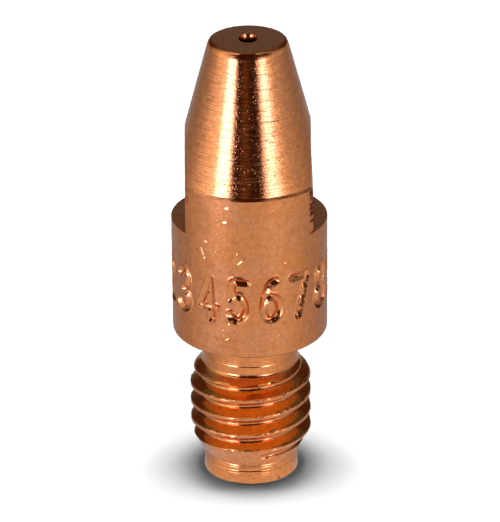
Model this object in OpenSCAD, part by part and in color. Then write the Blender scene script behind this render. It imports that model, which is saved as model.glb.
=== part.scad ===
// Welding contact tip, turned from one piece of copper and standing on its rear end.
// The wire enters the lead-in at the rear, runs up the bore and leaves at the front face.
// All heights count up from the rear end, on the axis of the bore.

/* [Plain rear end] */
// Diameter of the plain stretch below the thread
pilot_d = 6.1; // [5.2:0.1:6.4]
// Length of the plain stretch below the thread
pilot_len = 1.6; // [1:0.05:4]
// Rounding of the rear edge
pilot_edge_r = 0.1; // [0.05:0.05:0.5]

/* [Thread] */
// Diameter over the thread's crests
thread_d = 7.85; // [7.6:0.05:8]
// Height that the thread climbs in one turn
thread_pitch = 1.25; // [1.15:0.05:1.5]
// Length of the threaded stretch, with its chamfer and its run-out
thread_len = 6.2; // [4:0.1:12]
// Depth of the groove below the crests
thread_depth = 0.7; // [0.4:0.05:0.75]
// Width of the flat that is left on each crest
thread_crest_w = 0.3; // [0.1:0.05:0.4]
// Angle between a flank and a level plane
thread_flank_angle = 30; // [20:1:30]
// Angle of the chamfer at the thread's start, from a level plane
thread_chamfer_angle = 60; // [30:5:70]
// Direction in which the groove starts, turned from the right-hand wrench flat
thread_start_angle = 320; // [0:5:355]

/* [Neck above the thread] */
// Diameter of the undercut between thread and shoulder
neck_d = 6.15; // [5.4:0.05:6.4]
// Length of the undercut
neck_len = 2.2; // [1.7:0.05:5]
// Slope of the thread's upper end beside the undercut, from a level plane
neck_runout_angle = 40; // [20:5:50]
// How much radius the uppermost crests lose above the full thread
crest_fade_w = 0.3; // [0.1:0.05:0.4]
// Slope of that loss, from a level plane
crest_fade_angle = 65; // [55:5:75]

/* [Body] */
// Diameter of the body
body_d = 10; // [9:0.1:12]
// Length of the body, from the shoulder to the foot of the cone
body_len = 11; // [7:0.5:16]
// Rounding of the body's rear edge
body_edge_r = 0.3; // [0.1:0.05:0.8]

/* [Wrench flats] */
// Distance across the two flats
flat_across = 8.1; // [7:0.1:8.5]
// How far the flats reach below the foot of the cone
flat_drop = 3.1; // [1.5:0.1:5]

/* [Front cone] */
// Length of the cone, from its foot to the front face
cone_len = 9; // [6:0.5:10]
// Angle between the cone's side and its axis
cone_half_angle = 15.3; // [10:0.1:17]
// Width of the small step at the foot of the cone
cone_step_w = 0.08; // [0.02:0.02:0.3]
// Rounding between the cone and the front face
face_edge_r = 0.45; // [0.1:0.05:0.6]

/* [Wire bore] */
// Diameter of the bore, for wire of 0.9 millimetres
bore_d = 1.1; // [0.7:0.05:1.8]
// Width of the edge break round the bore at the front face
bore_mouth_w = 0.05; // [0.02:0.01:0.15]
// Diameter of the funnel that leads the wire in at the rear end
lead_in_d = 3; // [2:0.1:4]
// Angle between the funnel's side and its axis
lead_in_half_angle = 30; // [20:5:60]

/* [Hidden] */
$fn = 96;

copper = [0.79, 0.5, 0.35];
// Steps in one turn of the groove, and in one rounded edge of the outline
turn_steps = 48;
edge_steps = 5;
// How far a cutting shape runs past the surface that it cuts
cut_over = 0.1;

pilot_r = pilot_d / 2;
crest_r = thread_d / 2;
neck_r = neck_d / 2;
body_r = body_d / 2;
bore_r = bore_d / 2;
lead_in_r = lead_in_d / 2;

// Heights up the piece
runout_h = pilot_len + thread_len;
shoulder_h = runout_h + neck_len;
cone_foot_h = shoulder_h + body_len;
tip_len = cone_foot_h + cone_len;
flat_foot_h = cone_foot_h - flat_drop;
chamfer_top_h = pilot_len + (crest_r - pilot_r) * tan(thread_chamfer_angle);
fade_r = crest_r - crest_fade_w;
fade_h = runout_h - (fade_r - neck_r) * tan(neck_runout_angle);
crest_top_h = fade_h - crest_fade_w * tan(crest_fade_angle);

// The cone, and the rounded edge that leads over to the front face
cone_foot_r = body_r - cone_step_w;
cone_top_r = cone_foot_r - cone_len * tan(cone_half_angle);
face_r = cone_top_r - face_edge_r * tan((90 - cone_half_angle) / 2);

// The groove's section: a narrow floor, and flanks that widen to just outside the crests
groove_floor_r = crest_r - thread_depth;
groove_outer_r = crest_r + cut_over;
groove_mouth_w = thread_pitch - thread_crest_w;
groove_floor_w = groove_mouth_w - 2 * thread_depth * tan(thread_flank_angle);
groove_outer_w = groove_mouth_w + 2 * cut_over * tan(thread_flank_angle);
groove_section = [
    [groove_floor_r, -groove_floor_w / 2],
    [groove_outer_r, -groove_outer_w / 2],
    [groove_outer_r, groove_outer_w / 2],
    [groove_floor_r, groove_floor_w / 2]
];

// The groove starts beside the plain rear end and stops beside the neck, clear of both
groove_start_h = pilot_len - thread_pitch / 2;
groove_stop_h = runout_h + thread_pitch / 2;
groove_turns = (groove_stop_h - groove_start_h) / thread_pitch;
groove_rings = ceil(groove_turns * turn_steps);

// Points of a rounded edge about [r, h], from one angle to another
function rounded(r, h, edge_r, from, to) =
    [for (i = [0 : edge_steps]) let (a = from + (to - from) * i / edge_steps)
        [r + edge_r * cos(a), h + edge_r * sin(a)]];

// Half of the piece's section, as radius and height
outline = concat(
    [[0, 0]],
    rounded(pilot_r - pilot_edge_r, pilot_edge_r, pilot_edge_r, -90, 0),
    [
        [pilot_r, pilot_len],
        [crest_r, chamfer_top_h],
        [crest_r, crest_top_h],
        [fade_r, fade_h],
        [neck_r, runout_h],
        [neck_r, shoulder_h]
    ],
    rounded(body_r - body_edge_r, shoulder_h + body_edge_r, body_edge_r, -90, 0),
    [
        [body_r, cone_foot_h],
        [cone_foot_r, cone_foot_h]
    ],
    rounded(face_r, tip_len - face_edge_r, face_edge_r, cone_half_angle, 90),
    [[0, tip_len]]
);

module turned_blank() {
    rotate_extrude() polygon(outline);
}

// One ring of the groove: its section, turned and lifted to where the helix is at that step
function groove_ring(i) =
    let (
        share = i / groove_rings,
        a = thread_start_angle + 360 * groove_turns * share,
        h = groove_start_h + (groove_stop_h - groove_start_h) * share
    )
    [for (p = groove_section) [p[0] * cos(a), p[0] * sin(a), h + p[1]]];

module thread_groove() {
    sides = len(groove_section);
    rings = [for (i = [0 : groove_rings]) each groove_ring(i)];
    start_cap = [for (j = [sides - 1 : -1 : 0]) j];
    stop_cap = [for (j = [0 : sides - 1]) groove_rings * sides + j];
    walls = [for (i = [0 : groove_rings - 1]) for (j = [0 : sides - 1])
        let (
            here = i * sides + j,
            beside = i * sides + (j + 1) % sides
        )
        each [
            [here, beside, here + sides],
            [beside, beside + sides, here + sides]
        ]];
    polyhedron(rings, concat([start_cap, stop_cap], walls));
}

module wrench_flat() {
    width = body_r - flat_across / 2 + cut_over;
    translate([flat_across / 2, -body_r, flat_foot_h])
        cube([width, body_d, tip_len - flat_foot_h]);
}

module wire_bore() {
    lead_in_len = (lead_in_r - bore_r) / tan(lead_in_half_angle);
    translate([0, 0, -cut_over])
        cylinder(r = bore_r, h = tip_len + 2 * cut_over);
    cylinder(r1 = lead_in_r, r2 = bore_r, h = lead_in_len);
    translate([0, 0, tip_len - bore_mouth_w])
        cylinder(r1 = bore_r, r2 = bore_r + bore_mouth_w, h = bore_mouth_w);
}

module contact_tip() {
    color(copper)
        difference() {
            turned_blank();
            thread_groove();
            for (side = [0, 180]) rotate(side) wrench_flat();
            wire_bore();
        }
}

contact_tip();
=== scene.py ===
from math import acos, ceil, cos, degrees, pi, radians, sin, tan

import bpy
import numpy as np
from mathutils import Matrix, Vector, noise
from mathutils.geometry import delaunay_2d_cdt


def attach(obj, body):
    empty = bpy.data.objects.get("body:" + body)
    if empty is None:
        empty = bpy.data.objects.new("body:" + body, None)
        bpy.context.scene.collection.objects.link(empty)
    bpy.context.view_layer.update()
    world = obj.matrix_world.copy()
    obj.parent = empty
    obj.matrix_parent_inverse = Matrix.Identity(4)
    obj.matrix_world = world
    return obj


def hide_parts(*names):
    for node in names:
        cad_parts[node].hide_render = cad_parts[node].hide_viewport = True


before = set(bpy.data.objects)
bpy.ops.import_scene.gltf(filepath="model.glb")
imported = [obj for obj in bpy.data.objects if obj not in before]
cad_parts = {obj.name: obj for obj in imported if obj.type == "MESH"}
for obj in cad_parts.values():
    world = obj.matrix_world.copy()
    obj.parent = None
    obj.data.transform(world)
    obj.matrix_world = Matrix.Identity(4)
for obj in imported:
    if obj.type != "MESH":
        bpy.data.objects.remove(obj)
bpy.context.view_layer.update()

# The skin is worked out in millimetres and turned into metres when its mesh is made.
# An angle round the axis is 0 at the front (-Y) and grows to the right, in degrees.
MM = 0.001

# Plain rear end
PILOT_R = 3.05
PILOT_TOP = 1.6
PILOT_EDGE_R = 0.1
# Turned grooves round the plain end: height, half width, depth
PILOT_RINGS = (
    (0.4, 0.07, 0.01),
    (0.62, 0.07, 0.018),
    (0.78, 0.07, 0.022),
    (0.93, 0.06, 0.036),
    (1.07, 0.07, 0.022),
    (1.2, 0.06, 0.024),
    (1.33, 0.05, 0.018),
)
# Each nick: angle, height, half width in degrees, half height, depth
REAR_NICKS = (
    (-20, 0.08, 6, 0.16, 0.14),
    (-9, 0.05, 4, 0.1, 0.07),
    (37, 0.22, 4, 0.13, 0.12),
    (10, 0.05, 6, 0.09, 0.04),
    (3, 0.44, 9, 0.05, 0.03),
)

# Thread
CREST_R = 3.925
PITCH = 1.25
CREST_W = 0.22
FLANK_ANGLE = 30
ROOT_R = 0.21
CHAMFER_ANGLE = 60
CHAMFER_FOOT = 1.4
START_ANGLE = 50
# The groove gets its full depth over this rise of its middle
GROOVE_START_H = 2.0
GROOVE_START_RISE = 0.12
FADE_W = 0.3
FADE_ANGLE = 65

# Neck
NECK_R = 3.075
NECK_FOOT = 7.8
NECK_SLOPE = 40
NECK_FILLET_R = 0.38
# Turned grooves round the neck: height, half width, depth
NECK_RINGS = (
    (8.16, 0.07, 0.016),
    (8.33, 0.07, 0.012),
    (8.5, 0.08, 0.016),
    (8.68, 0.07, 0.012),
    (8.86, 0.08, 0.016),
    (9.06, 0.08, 0.013),
    (9.28, 0.08, 0.014),
    (9.5, 0.08, 0.01),
)

# Body
BODY_R = 5.0
SHOULDER_H = 10.0
BODY_EDGE_R = 0.3
PATCH_TOP = 17.6

# Wrench flats
FLAT_X = 4.05
CONE_FLAT_RIGHT_X = 3.94
LEDGE_H = 17.9

# Front cone
CONE_FOOT = 20.9
CONE_ANGLE = 15.05
CONE_STEP_W = 0.08
FOOT_FILLET_ANGLES = (30, 44)
TIP_LEN = 30.0
RIM_H = 0.5
RIM_ANGLES = (19, 22)
FACE_EDGE_R = 0.36
# How much lower the worn face lies at its edge than at the bore
FACE_DROP = 0.03

# Wire bore
BORE_R = 0.55
# Steps of the worn mouth: how much wider than the bore, at which depth
BORE_MOUTH = ((0.1, 0), (0.085, 0.03), (0.04, 0.15), (0, 0.3))
# How many times wider than that the wire has worn it at the sides, the front and the back
BORE_WEAR = (0.3, 3, 0.9)
LEAD_IN_R = 1.5
LEAD_IN_ANGLE = 30

# Stamped row
DIGIT_H = 2.7
DIGIT_W = 1.2
ROW_H = 14.0
ROW_START = -104.6
ROW_STEP = 24.0
GROOVE_DEPTH = 0.18
GROOVE_HALF_W = 0.245
BURR_H = 0.035
BURR_W = 0.11
STROKE_STEP = 0.06

# Columns round the axis
BODY_COLUMNS = 160
THREAD_COLUMNS = 240
NECK_COLUMNS = 150


def xyz(angle, r, z):
    """Points at angles round the axis, radii and heights."""
    a = np.radians(angle)
    r, z = np.broadcast_to(r, a.shape), np.broadcast_to(z, a.shape)
    return np.stack([r * np.sin(a), -r * np.cos(a), z], axis=-1)


def ring_angles(columns):
    return np.arange(columns) * 360 / columns - 180


class Skin:
    """The surface, gathered patch by patch. Points that coincide are joined at the end."""

    def __init__(self):
        self.points, self.faces, self.finishes, self.count = [], [], [], 0

    def add(self, points, faces, finish):
        points, faces = np.asarray(points, float).reshape(-1, 3), np.asarray(faces, int)
        self.points.append(points)
        self.faces.append(faces + self.count)
        self.finishes.append(np.broadcast_to(finish, len(faces)))
        self.count += len(points)

    def sheet(self, grid, finish, closed=True):
        """A patch from rows of points; its outside is on the right-hand side of a climbing row."""
        rows, columns = grid.shape[:2]
        index = np.arange(rows * columns).reshape(rows, columns)
        if closed:
            index = np.concatenate([index, index[:, :1]], axis=1)
        a, b = index[:-1, :-1].ravel(), index[:-1, 1:].ravel()
        c, d = index[1:, 1:].ravel(), index[1:, :-1].ravel()
        faces = np.concatenate([np.stack([a, b, c], 1), np.stack([a, c, d], 1)])
        self.add(grid, faces, finish)

    def bridge(self, low, high, finish):
        """A band of triangles between two rings with different numbers of points."""
        i, j, m, n, faces = 0, 0, len(low), len(high), []
        while i < m or j < n:
            if j == n or (i < m and (i + 1) / m <= (j + 1) / n):
                faces.append((i % m, (i + 1) % m, m + j % n))
                i += 1
            else:
                faces.append((i % m, m + (j + 1) % n, m + j % n))
                j += 1
        self.add(np.concatenate([low, high]), faces, finish)

    def joined(self):
        points, faces = np.concatenate(self.points), np.concatenate(self.faces)
        finishes = np.concatenate(self.finishes)
        _, first, inverse = np.unique(np.round(points, 5), axis=0, return_index=True, return_inverse=True)
        faces = inverse.ravel()[faces]
        whole = (faces[:, 0] != faces[:, 1]) & (faces[:, 1] != faces[:, 2]) & (faces[:, 2] != faces[:, 0])
        return points[first], faces[whole], finishes[whole]


SATIN, TURNED, THREADED, FACED, STAMPED, BORED, LATHED = range(7)


def arc(centre, r, start, stop, steps):
    """Points of a rounded corner, as radius and height."""
    return [(centre[0] + r * cos(radians(a)), centre[1] + r * sin(radians(a)))
            for a in np.linspace(start, stop, steps)]


def lathe(skin, profile, columns, finish, wobble=None):
    """Revolves a profile of radius and height; returns its last ring."""
    angles = ring_angles(columns)
    rings = []
    for r, z in profile:
        push = wobble(angles, z) if wobble else 0
        rings.append(xyz(angles, r + push, z))
    skin.sheet(np.stack(rings), finish)
    return rings[0], rings[-1]


def wander(seed, points):
    """Smooth noise at points in millimetres, between about -1 and 1."""
    return np.array([noise.noise(Vector((p[0], p[1], p[2] + seed))) for p in np.asarray(points, float).reshape(-1, 3)])


# Thread

def outline_r(z):
    """Radius of the threaded stretch before its groove is cut, with the fillet to the neck."""
    chamfer_top = CHAMFER_FOOT + (CREST_R - PILOT_R) * tan(radians(CHAMFER_ANGLE))
    fade_r = CREST_R - FADE_W
    fade_h = NECK_FOOT - (fade_r - NECK_R) * tan(radians(NECK_SLOPE))
    crest_top = fade_h - FADE_W * tan(radians(FADE_ANGLE))
    line = [(PILOT_R, CHAMFER_FOOT), (CREST_R, chamfer_top), (CREST_R, crest_top), (fade_r, fade_h)]
    line += neck_fillet()
    return np.interp(z, [p[1] for p in line], [p[0] for p in line])


def neck_fillet():
    """The rounded corner between the thread's upper end and the neck."""
    turn = radians(90 - NECK_SLOPE)
    top = NECK_FOOT + NECK_FILLET_R * tan(turn / 2)
    centre = (NECK_R + NECK_FILLET_R, top)
    return arc(centre, NECK_FILLET_R, 180 + 90 - NECK_SLOPE, 180, 7)


def groove_depth(q):
    """Depth below the crests at a distance q from the groove's middle, with a round root."""
    half = (PITCH - CREST_W) / 2
    q = np.abs(q)
    slope = tan(radians(FLANK_ANGLE))
    flank = (half - q) / slope
    bottom = half / slope - ROOT_R
    root = bottom - (ROOT_R - np.sqrt(np.maximum(ROOT_R ** 2 - q ** 2, 0)))
    depth = np.where(q < ROOT_R * cos(radians(FLANK_ANGLE)), root, flank)
    return np.maximum(depth, 0)


def thread_offsets():
    """Distances from the groove's middle at which the thread gets a row, over one pitch."""
    half = (PITCH - CREST_W) / 2
    root = ROOT_R * cos(radians(FLANK_ANGLE))
    up = list(np.linspace(0, root, 6)[1:]) + list(np.linspace(root, half, 5)[1:-1])
    up += [half - 0.02, half, half + 0.02]
    land = list(np.linspace(half + 0.02, PITCH - half - 0.02, 7)[1:-1])
    return np.array([-v for v in reversed(up)] + [0] + up + land)


def thread_patch(skin):
    """The threaded stretch, in rows that climb with the helix."""
    angles = np.arange(THREAD_COLUMNS + 1) * 360 / THREAD_COLUMNS - 180
    low, high = CHAMFER_FOOT, neck_fillet()[-1][1]
    turns = range(ceil((low - PITCH) / PITCH) - 2, ceil(high / PITCH) + 2)
    steps = np.array([k * PITCH + q for k in turns for q in thread_offsets()])
    middle = PILOT_TOP - PITCH / 2 + PITCH * (angles - START_ANGLE) / 360
    z = np.clip(middle[None, :] + steps[:, None], low, high)
    off = (z - middle + PITCH / 2) % PITCH - PITCH / 2
    begun = np.clip((z - off - GROOVE_START_H) / GROOVE_START_RISE, 0, 1)
    r = np.minimum(outline_r(z), CREST_R - groove_depth(off) * begun)
    grid = xyz(np.broadcast_to(angles, z.shape), r, z)
    between = (z[1:, 1:] + z[:-1, :-1]) / 2
    off = (between - (middle[1:] + middle[:-1]) / 2 + PITCH / 2) % PITCH - PITCH / 2
    bare = np.abs(off) > (PITCH - CREST_W) / 2
    bare |= np.abs(off) < ROOT_R * cos(radians(FLANK_ANGLE))
    begun = np.clip((between - off - GROOVE_START_H) / GROOVE_START_RISE, 0, 1)
    uncut = CREST_R - groove_depth(off) * begun > outline_r(between) - 0.01
    bare |= (uncut & (between < NECK_FOOT - 0.5)) | (between > NECK_FOOT + 0.05)
    finish = np.where(bare, TURNED, THREADED).ravel()
    skin.sheet(torn_crests(grid, middle), np.tile(finish, 2), closed=False)


def torn_crests(grid, middle):
    """Roughens the crests, more at their upper edge, as a blunt tool leaves them."""
    x, y, z = grid[..., 0], grid[..., 1], grid[..., 2]
    r = np.hypot(x, y)
    off = (z - middle[None, :]) % PITCH - PITCH / 2
    half = CREST_W / 2
    near = np.clip(1 - np.abs(off - 0.03) / (half + 0.07), 0, 1)
    inside = (z > PILOT_TOP + 0.06) & (z < NECK_FOOT - 0.4) & (near > 0)
    points = grid[inside]
    fine = wander(8.4, points * np.array([5, 5, 16]))
    coarse = wander(3.1, points * np.array([2.6, 2.6, 7]))
    patches = np.clip(0.7 + 1.4 * wander(6.6, points * np.array([0.9, 0.9, 0.9])), 0.4, 1.2)
    upper = np.clip((off[inside] + 0.02) / 0.1, 0, 1)
    reach = np.minimum(near[inside] * 3, 1) * patches
    push = (0.04 * fine + 0.03 * coarse - 0.022 * upper) * reach * (0.3 + 0.7 * upper)
    lift = 0.035 * wander(12.3, points * np.array([6, 6, 1.5])) * reach * upper
    scale = 1 + np.minimum(push, 0.025) / r[inside]
    grid[inside] = points * np.stack([scale, scale, np.ones_like(scale)], -1)
    grid[..., 2][inside] += lift
    return grid


# Pilot and neck

def feed_marks(z, seed, length, height):
    """Radial height of turning marks at a height up the piece."""
    coarse = noise.noise(Vector((seed, 0, z / length)))
    fine = noise.noise(Vector((seed, 7, z / length * 2.3)))
    return height * (coarse + 0.6 * fine)


def rear_end(skin):
    edge = arc((PILOT_R - PILOT_EDGE_R, PILOT_EDGE_R), PILOT_EDGE_R, -90, 0, 6)
    face = [(r, 0) for r in np.linspace(LEAD_IN_R, PILOT_R - PILOT_EDGE_R, 6)]
    lathe(skin, face, NECK_COLUMNS, FACED)
    heights = np.arange(PILOT_EDGE_R + 0.04, CHAMFER_FOOT - 0.02, 0.035)
    wall = edge + [(PILOT_R - 0.01 + feed_marks(z, 1.7, 0.13, 0.008) - ring_cut(PILOT_RINGS, z), z) for z in heights]
    wall.append((PILOT_R, CHAMFER_FOOT))
    return lathe(skin, wall, NECK_COLUMNS, LATHED, rear_nicks)[1]


def ring_cut(rings, z):
    """Depth of the fine grooves turned round the piece."""
    return sum(depth * max(0, 1 - abs(z - middle) / half) for middle, half, depth in rings)


def rear_nicks(angles, z):
    """Small nicks in the rear edge, a dent near it and a short cut beside the turned groove."""
    push = np.zeros(len(angles))
    for place, middle, width, height, depth in REAR_NICKS:
        across = np.clip(1 - np.abs(angles - place) / width, 0, 1)
        push -= depth * across * max(0, 1 - abs(z - middle) / height)
    return push


def neck(skin, low_h):
    heights = np.arange(low_h + 0.035, SHOULDER_H, 0.035)
    wall = [(NECK_R, low_h)]
    for z in heights:
        fade = min(1, (z - low_h) / 0.1) * min(1, 0.35 + (SHOULDER_H - z) / 2)
        marks_h = feed_marks(z, 5.2, 0.15, 0.008) - ring_cut(NECK_RINGS, z)
        wall.append((NECK_R - 0.006 + marks_h * fade, z))
    wall.append((NECK_R, SHOULDER_H))
    return lathe(skin, wall, NECK_COLUMNS, LATHED)


# Body with its stamped row

def curve(centre_share, radius_share, start, stop):
    """An arc of a stroke, in shares of a digit's width and height."""
    steps = max(3, ceil(abs(stop - start) / 15))
    return [(centre_share[0] + radius_share[0] * cos(radians(a)), centre_share[1] + radius_share[1] * sin(radians(a)))
            for a in np.linspace(start, stop, steps)]


STROKE_SHARES = (
    [[(0.25, 0.78), (0.55, 1), (0.55, 0)]],
    [curve((0.5, 0.7), (0.45, 0.3), 165, -40) + [(0.05, 0), (0.98, 0)]],
    [curve((0.48, 0.75), (0.42, 0.25), 150, -85), curve((0.48, 0.26), (0.47, 0.26), 85, -150)],
    [[(0.72, 0), (0.72, 1), (0, 0.3), (1, 0.3)]],
    [[(0.92, 1), (0.16, 1), (0.12, 0.56)], curve((0.46, 0.32), (0.46, 0.32), 135, -150)],
    [curve((0.5, 0.3), (0.45, 0.3), 0, 360), curve((0.95, 0.3), (0.9, 0.7), 180, 100)],
    [[(0, 1), (1, 1), (0.36, 0)]],
    [curve((0.5, 0.76), (0.38, 0.24), 0, 360), curve((0.5, 0.26), (0.47, 0.26), 0, 360)],
    [curve((0.5, 0.7), (0.45, 0.3), 0, 360), curve((0.05, 0.7), (0.9, 0.7), 0, -80)],
)


def spaced(points, step):
    """Points every step along a polyline, ends included."""
    points = np.array(points, float)
    run = np.concatenate([[0], np.cumsum(np.linalg.norm(np.diff(points, axis=0), axis=1))])
    at = np.linspace(0, run[-1], max(2, round(run[-1] / step) + 1))
    return np.stack([np.interp(at, run, points[:, k]) for k in (0, 1)], 1)


def strokes():
    """Centre lines of the stamped digits on the unrolled body: distance round it and height."""
    made = []
    for k, digit in enumerate(STROKE_SHARES):
        middle = radians(ROW_START + ROW_STEP * k) * BODY_R
        lean = radians(3 * sin(2.4 * k + 1))
        drop = 0.06 * sin(1.7 * k)
        for stroke in digit:
            pts = (np.array(stroke) - 0.5) * (DIGIT_W, DIGIT_H)
            turned = np.stack([pts[:, 0] * cos(lean) - pts[:, 1] * sin(lean),
                               pts[:, 0] * sin(lean) + pts[:, 1] * cos(lean)], 1)
            made.append(spaced(turned + (middle, ROW_H + drop), STROKE_STEP))
    return made


def distances(points, lines):
    """Distance from each point to the nearest stroke."""
    best = np.full(len(points), 1e9)
    for line in lines:
        a, b = line[:-1], line[1:]
        near = np.abs(points[:, 0] - line[:, 0].mean()) < 3
        p = points[near][:, None]
        d = b - a
        t = np.clip(((p - a) * d).sum(-1) / (d ** 2).sum(-1), 0, 1)
        gap = np.linalg.norm(p - a - t[..., None] * d, axis=-1).min(1)
        best[near] = np.minimum(best[near], gap)
    return best


def stroke_points(lines):
    """Points beside the strokes, at the distances where a groove's section bends."""
    edge = GROOVE_HALF_W
    offsets = (0, edge * 0.5, edge * 0.92, edge + 0.03, edge + BURR_W * 0.6, edge + BURR_W, edge + BURR_W + 0.08)
    made = []
    for line in lines:
        along = np.gradient(line, axis=0)
        along /= np.linalg.norm(along, axis=1)[:, None]
        side = np.stack([-along[:, 1], along[:, 0]], 1)
        for off in offsets:
            made += [(p, off) for p in line + off * side] + [(p, off) for p in line - off * side] if off else [(p, 0) for p in line]
            for end, out in ((line[0], -along[0]), (line[-1], along[-1])):
                if off:
                    across = np.array([-out[1], out[0]])
                    steps = max(3, round(pi * off / 0.07))
                    made += [(end + off * (cos(t) * out + sin(t) * across), off)
                             for t in np.linspace(-pi / 2, pi / 2, steps + 1)[1:-1]]
    points = np.array([p for p, _ in made])
    off = np.array([o for _, o in made])
    keep = distances(points, lines) > off - 0.012
    return points[keep]


def thinned(points, gap):
    """Drops points that are closer together than about a gap."""
    _, first = np.unique(np.round(points / gap).astype(int), axis=0, return_index=True)
    return points[np.sort(first)]


def stamp_height(d, points):
    """Height of the surface at a distance from a stroke: groove, raised burr, then nothing."""
    edge = GROOVE_HALF_W
    vary = 1 + 0.35 * wander(2.2, np.c_[points * 2.2, np.zeros(len(points))])
    burr = 1 + 0.9 * wander(9.1, np.c_[points * 5, np.zeros(len(points))])
    groove = np.interp(d, [0, edge * 0.5, edge * 0.9, edge + 0.03], [-1, -0.72, -0.16, 0])
    ridge = np.interp(d, [edge * 0.8, edge + 0.03, edge + BURR_W * 0.6, edge + BURR_W], [0, 1, 0.45, 0])
    return groove * GROOVE_DEPTH * vary + ridge * BURR_H * burr


def body_patch(skin, low, high):
    """The round body below the flats, unrolled, with the stamped row in it."""
    half = pi * BODY_R
    across = np.linspace(-half, half, BODY_COLUMNS + 1)
    levels = np.linspace(low, high, ceil((high - low) / 0.24) + 1)
    plain = np.array([(s, z) for z in levels for s in across])
    lines = strokes()
    on_edge = (plain[:, 1] < low + 1e-6) | (plain[:, 1] > high - 1e-6) | (np.abs(plain[:, 0]) > half - 1e-6)
    reach = GROOVE_HALF_W + BURR_W + 0.16
    plain = plain[on_edge | (distances(plain, lines) > reach)]
    points = np.concatenate([plain, thinned(stroke_points(lines), 0.03)])
    found = delaunay_2d_cdt([Vector(p) for p in points], [], [], 0, 1e-6)
    points = np.array([tuple(v) for v in found[0]])
    faces = np.array([f for f in found[2]])
    a, b, c = (points[faces[:, k]] for k in range(3))
    area = (b[:, 0] - a[:, 0]) * (c[:, 1] - a[:, 1]) - (b[:, 1] - a[:, 1]) * (c[:, 0] - a[:, 0])
    faces[area < 0] = faces[area < 0][:, ::-1]
    faces = faces[np.abs(area) > 1e-9]
    d = distances(points, lines)
    height = stamp_height(d, points)
    middle = points[faces].mean(1)
    finish = np.where(distances(middle, lines) < GROOVE_HALF_W, STAMPED, SATIN)
    round_about = np.degrees(points[:, 0] / BODY_R)
    reach = np.maximum(np.abs(np.sin(np.radians(round_about))), np.abs(np.cos(np.radians(round_about))))
    radius = np.minimum(BODY_R + height, np.maximum(BODY_R, BODY_R / reach))
    place = xyz(round_about, radius, points[:, 1])
    skin.add(place, faces, finish)


def shoulder(skin):
    face = [(r, SHOULDER_H) for r in np.linspace(NECK_R, BODY_R - BODY_EDGE_R, 8)]
    edge = arc((BODY_R - BODY_EDGE_R, SHOULDER_H + BODY_EDGE_R), BODY_EDGE_R, -90, 0, 9)
    inner = xyz(ring_angles(NECK_COLUMNS), NECK_R, SHOULDER_H)
    second = xyz(ring_angles(BODY_COLUMNS), face[1][0], SHOULDER_H)
    skin.bridge(inner, second, FACED)
    lathe(skin, face[1:], BODY_COLUMNS, FACED)
    lathe(skin, edge, BODY_COLUMNS, SATIN)


# Flats and cone

def flat_half_angle(z):
    """Half of the angle that a flat takes at a height; above its top it opens out again for the columns."""
    r = upper_r(z)
    if r > FLAT_X:
        return degrees(acos(FLAT_X / r))
    top = CONE_FOOT + (BODY_R - CONE_STEP_W - FLAT_X) / tan(radians(CONE_ANGLE))
    t = min(1, (z - top) / 4)
    return 36 * t * t * (3 - 2 * t)


def cone_line_r(z):
    return BODY_R - CONE_STEP_W - (z - CONE_FOOT) * tan(radians(CONE_ANGLE))


def foot_fillet():
    """The tool's round corner at the cone's foot, as radius and height, upwards."""
    start, stop = FOOT_FILLET_ANGLES
    a, b = radians(start), radians(stop)
    r = CONE_STEP_W / ((cos(a) - cos(b)) - tan(radians(CONE_ANGLE)) * (sin(b) - sin(a)))
    top = CONE_FOOT + r * (sin(b) - sin(a))
    centre = (cone_line_r(top) + r * cos(a), top + r * sin(a))
    return arc(centre, r, 180 + stop, 180 + start, 9)


def rim_arc():
    """The worn edge between the cone and the front face: a long soft curve, then a round edge."""
    start, stop = RIM_ANGLES
    edge_h = FACE_EDGE_R * (1 - sin(radians(stop)))
    foot_h = TIP_LEN - RIM_H
    r = (RIM_H - FACE_DROP - edge_h) / (sin(radians(stop)) - sin(radians(start)))
    centre = (cone_line_r(foot_h) - r * cos(radians(start)), foot_h - r * sin(radians(start)))
    soft = arc(centre, r, start, stop, 6)
    face_r = soft[-1][0] - FACE_EDGE_R * cos(radians(stop))
    return soft + arc((face_r, TIP_LEN - FACE_DROP - FACE_EDGE_R), FACE_EDGE_R, stop, 90, 10)[1:]


def upper_r(z):
    """Radius of the turned outline above the ledges."""
    if z <= CONE_FOOT:
        return BODY_R
    fillet, rim = foot_fillet(), rim_arc()
    if z < fillet[-1][1]:
        return float(np.interp(z, [p[1] for p in fillet], [p[0] for p in fillet]))
    if z > rim[0][1]:
        return float(np.interp(z, [p[1] for p in rim], [p[0] for p in rim]))
    return cone_line_r(z)


def warped_angles(z):
    """Column angles, shifted so that columns run along the flats' edges."""
    a = ring_angles(BODY_COLUMNS)
    side = np.where(a < 0, -90, 90)
    away = a - side
    half = flat_half_angle(z)
    inside = np.abs(away) <= 36
    new = np.where(inside, away * half / 36, np.sign(away) * (half + (np.abs(away) - 36) * (90 - half) / 54))
    return side + new


def upper_ring(z, turned_r, cut=True):
    a = warped_angles(z)
    r = np.full(len(a), turned_r)
    if cut:
        reach = np.abs(np.sin(np.radians(a)))
        r = np.minimum(r, flat_x(a, z) / np.maximum(reach, 1e-6))
        r -= edge_dents(a, r, z)
    return xyz(a, r, z)


def flat_x(a, z):
    """Distance of the flats from the axis; the right one lies a little deeper along the cone."""
    right = np.interp(z, [CONE_FOOT - 0.3, CONE_FOOT + 0.2], [FLAT_X, CONE_FLAT_RIGHT_X])
    return np.where(a > 0, right, FLAT_X)


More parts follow.
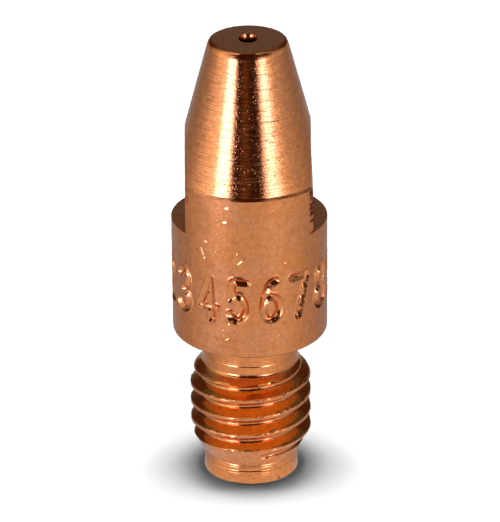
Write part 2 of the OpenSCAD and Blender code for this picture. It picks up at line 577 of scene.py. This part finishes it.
def edge_dents(a, r, z):
    """Depth of the small dents along the front edge of the right flat, below the cone."""
    if z > CONE_FOOT + 0.05:
        return np.zeros(len(a))
    edge = 90 - flat_half_angle(min(z, CONE_FOOT))
    near = np.clip(1 - np.abs(a - edge) / 4.5, 0, 1)
    rough = noise.noise(Vector((4.4, 0.3, z * 4.1))) + 0.9 * noise.noise(Vector((1.9, 6.1, z * 9.3)))
    return near * max(0, rough + 0.2) * 0.42


def upper_part(skin):
    """Ledges, flats, cone and rim, in rows up to the front face."""
    low = xyz(ring_angles(BODY_COLUMNS), BODY_R, PATCH_TOP)
    ledge_out = upper_ring(LEDGE_H, BODY_R, cut=False)
    ledge_in = upper_ring(LEDGE_H, BODY_R)
    skin.sheet(np.stack([low, ledge_out]), SATIN)
    skin.sheet(np.stack([ledge_out, ledge_in]), FACED)
    wall = [ledge_in] + [upper_ring(z, BODY_R) for z in np.linspace(LEDGE_H, CONE_FOOT, 32)[1:]]
    skin.sheet(np.stack(wall), SATIN)
    fillet, rim = foot_fillet(), rim_arc()
    heights = np.linspace(fillet[-1][1], rim[0][1], 82)
    heights = [heights[0] + 0.015, *heights[1:-1], rim[0][1] - 0.03]
    profile = fillet + [(cone_line_r(z), z) for z in heights] + rim[:1]
    rows = [wall[-1]] + [upper_ring(z, r) for r, z in profile]
    skin.sheet(np.stack(rows), TURNED)
    skin.sheet(np.stack([upper_ring(z, r) for r, z in rim]), LATHED)


def front_face(skin):
    """The front face, the bore's lip, the bore and the funnel at the rear."""
    face_r = rim_arc()[-1][0]
    angles = warped_angles(TIP_LEN)
    forward = np.cos(np.radians(angles))
    sides, front, back = BORE_WEAR
    wear = sides + np.where(forward > 0, front - sides, back - sides) * forward ** 2
    face = []
    for share in np.linspace(0, 1, 7):
        r = face_r + (BORE_R + BORE_MOUTH[0][0] * wear - face_r) * share
        face.append(xyz(angles, r, TIP_LEN - FACE_DROP * (1 - share)))
    skin.sheet(np.stack(face), FACED)
    mouth = [xyz(angles, BORE_R + wider * wear, TIP_LEN - depth) for wider, depth in BORE_MOUTH]
    skin.sheet(np.stack(mouth), TURNED)
    funnel_top = (LEAD_IN_R - BORE_R) / tan(radians(LEAD_IN_ANGLE))
    wall = [(BORE_R, z) for z in np.linspace(TIP_LEN - BORE_MOUTH[-1][1], funnel_top, 14)]
    wall += [(r, (LEAD_IN_R - r) / tan(radians(LEAD_IN_ANGLE))) for r in np.linspace(BORE_R, LEAD_IN_R, 5)[1:]]
    # The bore's wall and the funnel at the rear get the darkened copper: painted shade inside the bore.
    skin.sheet(np.stack([xyz(angles, r, z) for r, z in wall]), BORED)
    return xyz(angles, LEAD_IN_R, 0)


# Small burrs, scratches and specks that stand on the surface

def surface_r(angle, z):
    """Radius of the body, flats and cone at an angle and height."""
    r = upper_r(z) if z > LEDGE_H else BODY_R
    return float(min(r, FLAT_X / max(abs(sin(radians(angle))), 1e-6))) if z > LEDGE_H else r


def fleck(skin, angle, z, length, width, turn, finish):
    """A small raised grain; its length runs round the piece, turned by an angle."""
    height = FLECK_SLOPE * width
    r = surface_r(angle, z)
    lean = radians(CONE_ANGLE) if z > CONE_FOOT else 0
    a = radians(angle)
    out = np.array([sin(a) * cos(lean), -cos(a) * cos(lean), sin(lean)])
    across = np.array([cos(a), sin(a), 0])
    up = np.cross(out, across)
    along = across * cos(radians(turn)) + up * sin(radians(turn))
    beside = np.cross(out, along)
    middle = xyz(angle, r, z)
    points = [middle + out * height]
    for share, rise in ((0.5, 0.8), (1, -0.35)):
        for k in range(8):
            t = k * pi / 4
            reach = along * cos(t) * length / 2 + beside * sin(t) * width / 2
            sag = (cos(t) * length / 2 * share * cos(radians(turn))) ** 2 / (2 * r)
            points.append(middle + reach * share + out * (height * rise - sag))
    faces = [(0, 1 + k, 1 + (k + 1) % 8) for k in range(8)]
    for k in range(8):
        a0, a1, b0, b1 = 1 + k, 1 + (k + 1) % 8, 9 + k, 9 + (k + 1) % 8
        faces += [(a0, b0, b1), (a0, b1, a1)]
    skin.add(points, faces, finish)


def scratch(skin, angle, z, length, width, turn, tilt):
    """A bright scratch in the body: a thin lens whose lower edge stands out, so that it faces upwards."""
    r = surface_r(angle, z)
    a = radians(angle)
    out = np.array([sin(a), -cos(a), 0])
    across = np.array([cos(a), sin(a), 0])
    along = across * cos(radians(turn)) + np.array([0, 0, sin(radians(turn))])
    beside = np.cross(out, along)
    middle = xyz(angle, r, z)
    points = []
    for share in np.linspace(-1, 1, 9):
        half = width / 2 * np.sqrt(max(0, 1 - share ** 2)) + 0.004
        shift = share * length / 2
        sag = (shift * cos(radians(turn))) ** 2 / (2 * r)
        points.append(middle + along * shift + beside * half - out * (sag + 0.004))
        points.append(middle + along * shift - beside * half + out * (2 * half * tan(radians(tilt)) - sag - 0.004))
    faces = []
    for k in range(0, 16, 2):
        faces += [(k, k + 1, k + 3), (k, k + 3, k + 2)]
    skin.add(points, faces, STAMPED)


# Height of a grain in shares of its width
FLECK_SLOPE = 0.07
# Scratches seen on the body: angle, height, length, width, turn, tilt
SCRATCHES = (
    (-16.1, 20.43, 0.42, 0.12, 9, 16),
    (-18, 19.45, 0.42, 0.12, 9, 16),
    (-37.6, 17.36, 0.13, 0.1, -20, 16),
    (-37.2, 17.26, 0.13, 0.1, -20, 16),
    (-36.8, 17.16, 0.13, 0.1, -20, 16),
    (-36.4, 17.06, 0.13, 0.1, -20, 16),
    (-36.0, 16.96, 0.13, 0.1, -20, 16),
    (-35.3, 16.75, 0.2, 0.15, 0, 16),
    (-33.5, 17.9, 0.24, 0.07, -35, 16),
    (-5.8, 16.85, 0.8, 0.08, 42, 21),
    (-9.5, 17.3, 0.2, 0.05, 60, 19),
    (-25, 19.5, 0.3, 0.07, 30, 15),
    (27, 16.5, 0.18, 0.09, 5, 16),
    (-17.5, 11.3, 0.35, 0.07, 30, 16),
    (-15, 12.4, 0.2, 0.09, 0, 16),
    (22, 11.5, 0.25, 0.06, -30, 16),
    (-21, 11.9, 0.2, 0.07, 35, 16),
)
# Marks seen on the front: angle, height, length, width, turn
MARKS = (
    (-1.2, 17.1, 0.4, 0.07, 14),
    (-8.5, 17.2, 0.35, 0.06, 75),
    (-22, 18.6, 0.2, 0.09, 60),
    (-23, 20.2, 0.2, 0.08, 70),
    (-24.5, 19.9, 0.22, 0.07, 40),
    (-4, 18.7, 0.16, 0.07, 70),
    (7.5, 17.4, 0.3, 0.06, 5),
    (17, 20.2, 0.3, 0.06, -20),
    (14, 11.3, 0.22, 0.07, 25),
    (-20, 11.5, 0.3, 0.08, 30),
    (-12, 12.4, 0.2, 0.09, 0),
    (-10.5, 12.1, 0.16, 0.08, 30),
    (53, 18.3, 0.2, 0.1, 80),
    (51, 18.9, 0.24, 0.09, 50),
    (52.5, 19.5, 0.2, 0.1, 85),
    (51.5, 20.1, 0.26, 0.09, 100),
    (52, 20.6, 0.2, 0.1, 70),
    (-3.5, 25.15, 1.35, 0.06, -48),
    (1.5, 24.72, 0.16, 0.1, 0),
    (-5.6, 28.9, 0.36, 0.06, 5),
    (-10.6, 24.3, 0.14, 0.1, 60),
    (-1, 26.4, 0.6, 0.05, 86),
    (16, 24.6, 0.5, 0.05, 4),
    (33, 25.0, 0.22, 0.1, 80),
    (27, 22.5, 0.34, 0.07, 50),
)
CONE_SPECKS = 90
BODY_SPECKS = 160


def marks(skin):
    for angle, z, length, width, turn in MARKS:
        fleck(skin, angle, z, length, width, turn, STAMPED if z < CONE_FOOT else TURNED)
    for place in SCRATCHES:
        scratch(skin, *place)
    rng = np.random.default_rng(7)
    for _ in range(CONE_SPECKS):
        angle = rng.choice((rng.normal(29, 6), rng.normal(1, 7), rng.uniform(-180, 180)), p=(0.5, 0.3, 0.2))
        z = rng.uniform(CONE_FOOT + 0.3, TIP_LEN - 0.9)
        size = rng.uniform(0.06, 0.12)
        if abs(sin(radians(angle))) * upper_r(z) < FLAT_X - 0.1:
            fleck(skin, angle, z, size * rng.uniform(1, 2.2), size, rng.uniform(-90, 90), TURNED)
    for _ in range(BODY_SPECKS):
        angle, z = rng.uniform(-180, 180), rng.uniform(LEDGE_H - 1.5, CONE_FOOT - 0.2)
        size = rng.uniform(0.06, 0.1)
        if abs(sin(radians(angle))) * BODY_R < FLAT_X - 0.1:
            fleck(skin, angle, z, size * rng.uniform(1, 3), size, rng.uniform(-90, 90), STAMPED)


# Materials

COPPER = (0.85, 0.325, 0.125)
GOLDEN_COPPER = (0.91, 0.372, 0.094)
PINK_TINT = (0.98, 1.03, 1.28)
WARM_TINT = (1.03, 0.96, 0.72)
STAIN_TINT = (0.62, 0.45, 0.3)

# Stains on the body: angle, height, half width in degrees, half height, strength
STAINS = (
    (-24.5, 11.25, 2.2, 0.12, 1),
    (-20, 11.2, 2.6, 0.16, 0.9),
    (-16, 11.2, 2.4, 0.14, 1),
    (-11.5, 11.15, 2.5, 0.15, 0.9),
    (-18, 10.8, 9, 0.25, 0.4),
    (-26, 12.6, 5, 0.5, 0.3),
    (40.7, 10.85, 1.8, 0.16, 1),
    (25.7, 12.07, 0.9, 0.07, 1),
    (18, 10.45, 25, 0.1, 0.5),
    (-50, 10.5, 25, 0.12, 0.35),
    (29.9, 17.9, 1, 1.3, 0.4),
    (-52.5, 20.3, 2.6, 0.28, 1),
    (53, 20.5, 3, 0.35, 0.9),
    (52, 19.2, 2, 0.5, 0.7),
    (-57.4, 17, 1.1, 0.09, 1),
    (-54, 15.9, 1.1, 0.09, 1),
    (62, 11.7, 1.1, 0.09, 1),
    (57.6, 23.46, 3, 0.06, 1),
    (-61, 23.4, 1.4, 0.1, 1),
    (-30, 15.9, 5, 0.9, 0.25),
    (8, 15.2, 7, 0.8, 0.2),
)


def stain_levels(points):
    """How stained the surface is at each point."""
    angle = np.degrees(np.arctan2(points[:, 0], -points[:, 1]))
    z = points[:, 2]
    level = np.zeros(len(points))
    for place, middle, half_angle, half_h, strength in STAINS:
        gap = np.hypot((angle - place) / half_angle, (z - middle) / half_h)
        near = gap < 1.6
        rough = 1 + 0.9 * wander(4.7, points[near] * 2.5)
        level[near] = np.maximum(level[near], strength * np.clip(1.25 - gap[near], 0, 1) * rough)
    return np.clip(level, 0, 1)


class Paint:
    """A metal material, built up from patterns that are fixed to the piece."""

    def __init__(self, name):
        self.material = bpy.data.materials.new(name)
        self.material.use_nodes = True
        self.nodes, self.links = self.material.node_tree.nodes, self.material.node_tree.links
        self.shader = self.nodes["Principled BSDF"]
        self.shader.inputs["Metallic"].default_value = 1
        self.place = self.nodes.new("ShaderNodeTexCoord").outputs["Object"]
        self.normal = None

    def pattern(self, scale, detail=2, rough=0.5):
        """Noise; a scale of three numbers stretches it along the axes."""
        node = self.nodes.new("ShaderNodeTexNoise")
        node.inputs["Detail"].default_value = detail
        node.inputs["Roughness"].default_value = rough
        node.inputs["Scale"].default_value = 1
        mapping = self.nodes.new("ShaderNodeMapping")
        mapping.inputs["Scale"].default_value = scale if isinstance(scale, tuple) else (scale,) * 3
        self.links.new(self.place, mapping.inputs["Vector"])
        self.links.new(mapping.outputs["Vector"], node.inputs["Vector"])
        return node.outputs["Fac"]

    def span(self, fac, low, high, start=0.3, stop=0.7):
        node = self.nodes.new("ShaderNodeMapRange")
        for name, value in (("From Min", start), ("From Max", stop), ("To Min", low), ("To Max", high)):
            node.inputs[name].default_value = value
        self.links.new(fac, node.inputs["Value"])
        return node.outputs["Result"]

    def mix(self, fac, a, b):
        node = self.nodes.new("ShaderNodeMix")
        node.data_type = "RGBA"
        self.links.new(fac, node.inputs["Factor"])
        for socket, value in ((node.inputs[6], a), (node.inputs[7], b)):
            if isinstance(value, tuple):
                socket.default_value = (*value, 1)
            else:
                self.links.new(value, socket)
        return node.outputs[2]

    def bump(self, fac, height):
        """Adds a relief of a height in millimetres."""
        node = self.nodes.new("ShaderNodeBump")
        node.inputs["Strength"].default_value = 1
        node.inputs["Distance"].default_value = height * MM
        self.links.new(fac, node.inputs["Height"])
        if self.normal:
            self.links.new(self.normal, node.inputs["Normal"])
        self.normal = node.outputs["Normal"]
        self.links.new(self.normal, self.shader.inputs["Normal"])


def tinted(colour, tint):
    return tuple(min(1, c * t) for c, t in zip(colour, tint))


def copper(name, colour, roughness, grain, rings=0, waves=0, specks=0, blotches=1):
    """Copper with mottled colour, stains, fine grain and turning marks round the axis."""
    paint = Paint(name)
    fade = lambda tint: tuple(1 + (v - 1) * blotches for v in tint)
    pink, warm = tinted(colour, fade(PINK_TINT)), tinted(colour, fade(WARM_TINT))
    large = paint.mix(paint.span(paint.pattern(330, 8, 0.7), 0, 1, 0.32, 0.68), pink, warm)
    dim = paint.mix(paint.span(paint.pattern(3000, 6, 0.8), 0, 1, 0.34, 0.6), (0.72, 0.68, 0.67), (1, 1, 1))
    product = paint.nodes.new("ShaderNodeMix")
    product.data_type = "RGBA"
    product.blend_type = "MULTIPLY"
    product.inputs["Factor"].default_value = 1
    paint.links.new(large, product.inputs[6])
    paint.links.new(dim, product.inputs[7])
    stain = paint.nodes.new("ShaderNodeAttribute")
    stain.attribute_name = "stain"
    dark = tinted(colour, STAIN_TINT)
    base = paint.mix(stain.outputs["Fac"], product.outputs[2], dark)
    paint.links.new(base, paint.shader.inputs["Base Color"])
    rough = paint.span(paint.pattern(700, 4), roughness * 0.75, roughness * 1.3)
    paint.links.new(rough, paint.shader.inputs["Roughness"])
    if waves:
        paint.bump(paint.pattern(700, 2), waves)
    if rings:
        paint.bump(paint.pattern((130, 130, 4300), 4, 0.6), rings)
    if specks:
        paint.bump(paint.span(paint.pattern(10500, 1), 0, 1, 0.6, 0.74), specks)
    if grain:
        paint.bump(paint.pattern(8000, 2), grain)
    return paint.material


def tip(skin):
    points, faces, finishes = skin.joined()
    points[:, :2] = np.clip(points[:, :2], -BODY_R, BODY_R)
    mesh = bpy.data.meshes.new("tip")
    mesh.from_pydata((points * MM).tolist(), [], faces.tolist())
    for made in (
        copper("satin_copper", COPPER, 0.27, 0.008, waves=0.02, blotches=0.9),
        copper("turned_copper", COPPER, 0.09, 0.003, rings=0.034, waves=0.004, specks=0.003, blotches=0.5),
        copper("threaded_copper", GOLDEN_COPPER, 0.15, 0.001, waves=0.004, blotches=0.3),
        copper("faced_copper", COPPER, 0.3, 0.0015, blotches=0.4),
        copper("stamped_copper", COPPER, 0.14, 0.0015, blotches=0.4),
        # The bore's copper is painted much darker than the rest: painted shade for the depth of the bore.
        copper("bored_copper_painted_shade", tinted(COPPER, (0.3, 0.2, 0.15)), 0.16, 0.0015, blotches=0.4),
        copper("lathed_copper", tinted(COPPER, (1.11, 1.06, 0.95)), 0.13, 0.0015, rings=0.008, waves=0.003, blotches=0.5),
    ):
        mesh.materials.append(made)
    mesh.polygons.foreach_set("material_index", finishes.astype(np.int32))
    mesh.polygons.foreach_set("use_smooth", np.ones(len(faces), bool))
    mesh.attributes.new("stain", "FLOAT", "POINT").data.foreach_set("value", stain_levels(points))
    mesh.set_sharp_from_angle(angle=radians(32))
    mesh.update()
    piece = bpy.data.objects.new("copper_tip", mesh)
    bpy.context.scene.collection.objects.link(piece)
    piece.visible_diffuse = False
    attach(piece, "root")
    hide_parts("contact_tip")
    print("tip triangles", len(faces))
    return piece


# Camera, floor and light

CAMERA_DISTANCE = 0.250
CAMERA_ELEVATION = 24.5
CAMERA_TARGET_H = 0.014617
CAMERA_ROLL = -0.008
FOCAL_PX = 3884
IMAGE_W, IMAGE_H = 500, 522
CENTRE_X = 249.62
CENTRE_Y = 260.9
SENSOR = 36


def camera():
    data = bpy.data.cameras.new("camera")
    data.sensor_fit = "VERTICAL"
    data.sensor_height = SENSOR
    data.lens = FOCAL_PX / IMAGE_H * SENSOR
    data.shift_x = (IMAGE_W / 2 - CENTRE_X) / IMAGE_H
    data.shift_y = (CENTRE_Y - IMAGE_H / 2) / IMAGE_H
    data.clip_start = 0.01
    data.clip_end = 20
    e = radians(CAMERA_ELEVATION)
    place = Matrix.Translation((0, -CAMERA_DISTANCE * cos(e), CAMERA_TARGET_H + CAMERA_DISTANCE * sin(e)))
    made = bpy.data.objects.new("camera", data)
    made.matrix_world = place @ Matrix.Rotation(pi / 2 - e, 4, "X") @ Matrix.Rotation(CAMERA_ROLL, 4, "Z")
    bpy.context.scene.collection.objects.link(made)
    bpy.context.scene.camera = made


def at(azimuth, elevation, distance):
    """A place seen from the piece: azimuth 0 is the camera's side, to the right is positive."""
    a, e = radians(azimuth), radians(elevation)
    return Vector((sin(a) * cos(e), -cos(a) * cos(e), sin(e))) * distance


def lamp(name, azimuth, elevation, width, height, radiance, distance=2):
    """A soft box for the floor, of an angular size seen from the piece; the metal doesn't show it."""
    data = bpy.data.lights.new(name, "AREA")
    data.shape = "RECTANGLE"
    data.size = 2 * distance * tan(radians(width / 2))
    data.size_y = 2 * distance * tan(radians(height / 2))
    data.energy = radiance * pi * data.size * data.size_y
    made = bpy.data.objects.new(name, data)
    made.location = at(azimuth, elevation, distance)
    made.rotation_euler = made.location.to_track_quat("Z", "Y").to_euler()
    made.visible_camera = False
    made.visible_glossy = False
    bpy.context.scene.collection.objects.link(made)
    return made


# What the metal shows of the studio, as (azimuth, brightness) at rising elevations. Below
# DIM the light is warm and above BRIGHT it is cool, as in the photo's shadows and highlights.
DIM = 0.1
BRIGHT = 1.5
DIM_TINT = (1.35, 0.62, 0.38)
# A brown card behind the camera
CARD = (0.21, 0.11, 0.06)
BRIGHT_TINT = (0.96, 1, 1.45)
HORIZON = (
    (-180, 0.146), (-145, 0.05), (-128, 0.08), (-114, 0.42), (-95, 0.7), (-78, 1.3), (-66, 1.5), (-53, 2.2),
    (-46.5, 8), (-35.5, 8), (-31.5, 4), (-28.5, 0.8), (-25.5, 0.04), (-13, 0.035), (-11, CARD), (-2, CARD),
    (1, 0.026), (20, 0.022), (24, 0.8), (28, 3.5), (33, 6), (41, 6), (47, 3), (53, 1.5), (66, 0.8),
    (82, 0.62), (100, 0.47), (113, 0.4), (126, 0.08), (145, 0.05), (180, 0.146),
)
MIDDLE = (
    (-180, 0.146), (-150, 0.055), (-130, 0.06), (-108, 0.3), (-92, 0.6), (-78, 1), (-66, 0.9), (-56, 0.7),
    (-46, 0.35), (-38, 0.1), (-28, 0.03), (38, 0.03), (56, 0.05), (70, 0.25), (80, 0.35),
    (95, 0.25), (120, 0.06), (150, 0.055), (180, 0.146),
)
HIGH = (
    (-180, 0.146), (-125, 0.11), (-95, 0.35), (-70, 0.8), (-58, 1), (-36, 1), (-31, 0.04), (27, 0.04),
    (32, 0.5), (50, 0.5), (64, 0.35), (100, 0.08), (130, 0.12), (180, 0.146),
)
OVERHEAD = 0.14
# What the metal shows of the floor close by and further out: a painted glow that only reflections see, holding painted
# soft boxes at the sides further out and dark in front
NEAR_FLOOR_GLOW = (
    (-180, 0.38), (-130, 0.38), (-100, 0.43), (-70, 0.64), (-45, 0.75), (-25, 0.73), (0, 0.75), (20, 0.79),
    (40, 0.79), (65, 0.67), (100, 0.46), (130, 0.38), (180, 0.38),
)
FAR_FLOOR_GLOW = (
    (-180, 0.3), (-125, 0.33), (-100, 0.42), (-85, 0.52), (-66, 0.85), (-55, 1.4), (-49, 5), (-33, 5),
    (-28, 0.5), (-24, 0.09), (20, 0.09), (25, 0.6), (33, 1.5), (45, 1), (58, 0.65), (78, 0.5), (97, 0.4),
    (120, 0.33), (180, 0.3),
)
BRIGHTEST = 8


def light_colour(level):
    """Colour of a brightness: warm in the dark card, cool in the soft boxes."""
    warm = max(0, min(1, (DIM - level) / 0.04))
    cool = max(0, min(1, (level - BRIGHT) / 1.5))
    return tuple(level * (1 + (a - 1) * warm) * (1 + (b - 1) * cool) for a, b in zip(DIM_TINT, BRIGHT_TINT))


class Light:
    """Nodes for a brightness that depends on a direction or on a place on the floor."""

    def __init__(self, tree, source):
        self.nodes, self.links = tree.nodes, tree.links
        place = self.nodes.new("ShaderNodeTexCoord").outputs[source]
        split = self.nodes.new("ShaderNodeSeparateXYZ")
        self.links.new(place, split.inputs["Vector"])
        self.x, self.y, self.z = (split.outputs[k] for k in range(3))
        back = self.math("MULTIPLY", self.y, -1)
        turn = self.math("ARCTAN2", self.x, back)
        self.azimuth = self.math("MULTIPLY_ADD", turn, 0.5 / pi, 0.5)

    def math(self, operation, *values):
        node = self.nodes.new("ShaderNodeMath")
        node.operation = operation
        for socket, value in zip(node.inputs, values):
            if isinstance(value, (int, float)):
                socket.default_value = value
            else:
                self.links.new(value, socket)
        return node.outputs[0]

    def level(self, stops):
        """Brightness round the piece, from pairs of azimuth and brightness."""
        node = self.nodes.new("ShaderNodeValToRGB")
        points = node.color_ramp.elements
        while len(points) < len(stops):
            points.new(0.5)
        for point, (azimuth, value) in zip(points, stops):
            point.position = azimuth / 360 + 0.5
        for point, (azimuth, value) in zip(points, stops):
            colour = value if isinstance(value, tuple) else light_colour(value)
            point.color = (*(c / BRIGHTEST for c in colour), 1)
        self.links.new(self.azimuth, node.inputs["Fac"])
        return node.outputs["Color"]

    def blend(self, value, start, stop, a, b):
        """Goes over from a to b while a value rises from start to stop."""
        fac = self.nodes.new("ShaderNodeMapRange")
        fac.interpolation_type = "SMOOTHSTEP"
        fac.inputs["From Min"].default_value = start
        fac.inputs["From Max"].default_value = stop
        self.links.new(value, fac.inputs["Value"])
        node = self.nodes.new("ShaderNodeMix")
        node.data_type = "RGBA"
        self.links.new(fac.outputs["Result"], node.inputs["Factor"])
        self.links.new(a, node.inputs[6])
        if isinstance(b, float):
            node.inputs[7].default_value = (*(c / BRIGHTEST for c in light_colour(b)), 1)
        else:
            self.links.new(b, node.inputs[7])
        return node.outputs[2]


def floor():
    """A pale floor; in the metal it shows a painted glow instead, with painted soft boxes in it and without the
    piece's own shadow.
    """
    bpy.ops.mesh.primitive_circle_add(vertices=96, radius=1.5, fill_type="NGON")
    made = bpy.context.object
    made.name = "floor"
    paint = bpy.data.materials.new("floor")
    paint.use_nodes = True
    nodes, links = paint.node_tree.nodes, paint.node_tree.links
    nodes.clear()
    matt = nodes.new("ShaderNodeBsdfDiffuse")
    matt.inputs["Color"].default_value = (0.93, 0.93, 0.93, 1)
    shown = Light(paint.node_tree, "Object")
    square = shown.math("ADD", shown.math("MULTIPLY", shown.x, shown.x), shown.math("MULTIPLY", shown.y, shown.y))
    distance = shown.math("SQRT", square)
    colour = shown.blend(distance, 0.05, 0.15, shown.level(NEAR_FLOOR_GLOW), shown.level(FAR_FLOOR_GLOW))
    # For glossy rays the floor glows: a painted glow that stands in for the studio's light as the metal sees it on the
    # floor.
    glow = nodes.new("ShaderNodeEmission")
    glow.inputs["Strength"].default_value = BRIGHTEST
    links.new(colour, glow.inputs["Color"])
    ray = nodes.new("ShaderNodeLightPath")
    mix = nodes.new("ShaderNodeMixShader")
    out = nodes.new("ShaderNodeOutputMaterial")
    links.new(ray.outputs["Is Glossy Ray"], mix.inputs["Fac"])
    links.new(matt.outputs["BSDF"], mix.inputs[1])
    links.new(glow.outputs["Emission"], mix.inputs[2])
    links.new(mix.outputs["Shader"], out.inputs["Surface"])
    made.data.materials.append(paint)


def studio():
    """The light round the piece: two tall soft boxes with glows beside them, dark in front and above."""
    made = bpy.data.worlds.new("studio")
    made.use_nodes = True
    tree = made.node_tree
    shown = Light(tree, "Generated")
    elevation = shown.math("ARCSINE", shown.z)
    colour = shown.blend(elevation, radians(11), radians(15), shown.level(HORIZON), shown.level(MIDDLE))
    colour = shown.blend(elevation, radians(35), radians(43), colour, shown.level(HIGH))
    colour = shown.blend(elevation, radians(60), radians(70), colour, OVERHEAD)
    glow = tree.nodes["Background"]
    glow.inputs["Strength"].default_value = BRIGHTEST
    tree.links.new(colour, glow.inputs["Color"])
    white = tree.nodes.new("ShaderNodeBackground")
    white.inputs["Color"].default_value = (1, 1, 1, 1)
    ray = tree.nodes.new("ShaderNodeLightPath")
    mix = tree.nodes.new("ShaderNodeMixShader")
    tree.links.new(ray.outputs["Is Camera Ray"], mix.inputs["Fac"])
    tree.links.new(glow.outputs["Background"], mix.inputs[1])
    tree.links.new(white.outputs["Background"], mix.inputs[2])
    tree.links.new(mix.outputs["Shader"], tree.nodes["World Output"].inputs["Surface"])
    made.cycles_visibility.diffuse = False
    bpy.context.scene.world = made


def stage():
    floor()
    studio()
    lamp("top_light", 0, 90, 19.4, 14, 42)
    lamp("left_light", -112, 12, 30, 12, 13)
    lamp("right_light", 112, 12, 30, 12, 13)
    bpy.context.scene.view_settings.view_transform = "Standard"


def build():
    skin = Skin()
    pilot_top = rear_end(skin)
    thread_patch(skin)
    skin.bridge(pilot_top, xyz(ring_angles(THREAD_COLUMNS), PILOT_R, CHAMFER_FOOT), TURNED)
    neck_low = neck_fillet()[-1][1]
    neck_foot = neck(skin, neck_low)[0]
    skin.bridge(xyz(ring_angles(THREAD_COLUMNS), NECK_R, neck_low), neck_foot, TURNED)
    shoulder(skin)
    body_patch(skin, SHOULDER_H + BODY_EDGE_R, PATCH_TOP)
    upper_part(skin)
    funnel_edge = front_face(skin)
    skin.bridge(funnel_edge, xyz(ring_angles(NECK_COLUMNS), LEAD_IN_R, 0), FACED)
    marks(skin)
    return tip(skin)


camera()
build()
stage()
